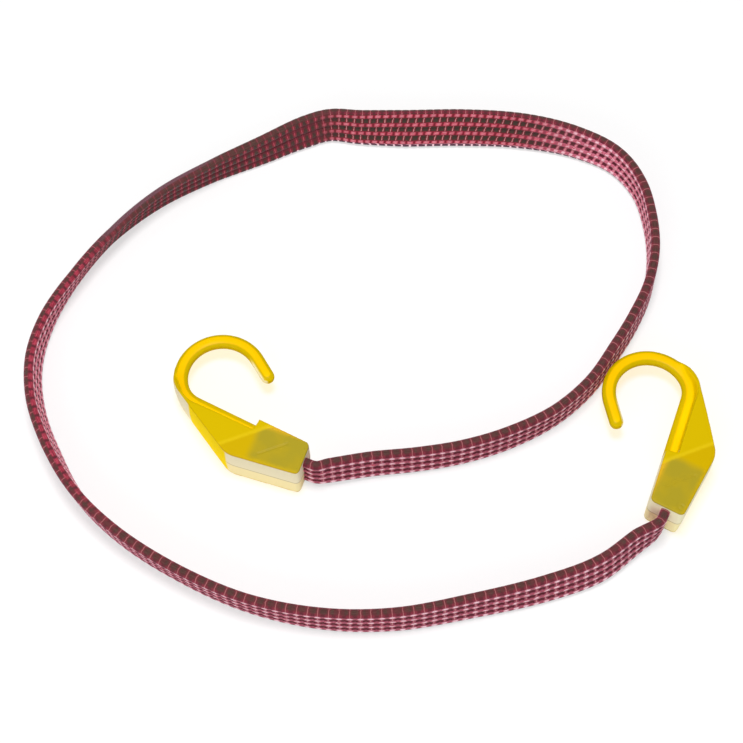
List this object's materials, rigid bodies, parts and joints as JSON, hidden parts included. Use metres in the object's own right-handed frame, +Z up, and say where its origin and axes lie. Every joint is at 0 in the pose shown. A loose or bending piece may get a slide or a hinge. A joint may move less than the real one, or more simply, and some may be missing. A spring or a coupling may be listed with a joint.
{
  "type": "bungee cord",
  "caption": "Flat elastic cord in a woven sheath with a moulded plastic hook crimped on each end, lying on its edge in a loose loop.",
  "frame": {"origin": "on the table, under the middle of the box round the two hooks", "axes": "+X to the right in the picture, along the line between the hooks; +Y away from the picture's camera; +Z up from the table"},
  "size_m": [0.2998, 0.2569, 0.0213],
  "materials": {
    "woven_sheath": "woven yarn, pink bricks on dark red and olive",
    "latex_rubber": "natural matt",
    "yellow_plastic": "translucent moulded satin",
    "clamp_steel": "zinc plated"
  },
  "bodies": {
    "strap": {"strap_sheath": "woven_sheath", "rubber_core_1": "latex_rubber", "rubber_core_2": "latex_rubber", "rubber_core_3": "latex_rubber", "rubber_core_4": "latex_rubber"},
    "left_clamp": {"left_end_clamp": "clamp_steel"},
    "left_hook": {"left_hook": "yellow_plastic"},
    "right_clamp": {"right_end_clamp": "clamp_steel"},
    "right_hook": {"right_hook": "yellow_plastic"}
  },
  "joints": [
    {"name": "left_stretch", "type": "slide", "parent": "strap", "child": "left_clamp", "axis": [-0.9438, 0.3305, 0], "range_m": [0, 0.04], "stiffness_N_per_m": 400, "deforming": ["strap_sheath", "rubber_core_1", "rubber_core_2", "rubber_core_3", "rubber_core_4"]},
    {"name": "left_swivel", "type": "hinge", "parent": "left_clamp", "child": "left_hook", "pos_m": [-0.05932, -0.0192, 0.01065], "axis": [0, 0, 1], "range_deg": [-7, 7]},
    {"name": "right_stretch", "type": "slide", "parent": "strap", "child": "right_clamp", "axis": [0.6691, 0.7431, 0], "range_m": [0, 0.04], "stiffness_N_per_m": 400, "deforming": ["strap_sheath", "rubber_core_1", "rubber_core_2", "rubber_core_3", "rubber_core_4"]},
    {"name": "right_swivel", "type": "hinge", "parent": "right_clamp", "child": "right_hook", "pos_m": [0.09472, -0.04088, 0.01065], "axis": [0, 0, 1], "range_deg": [-7, 0]}
  ]
}
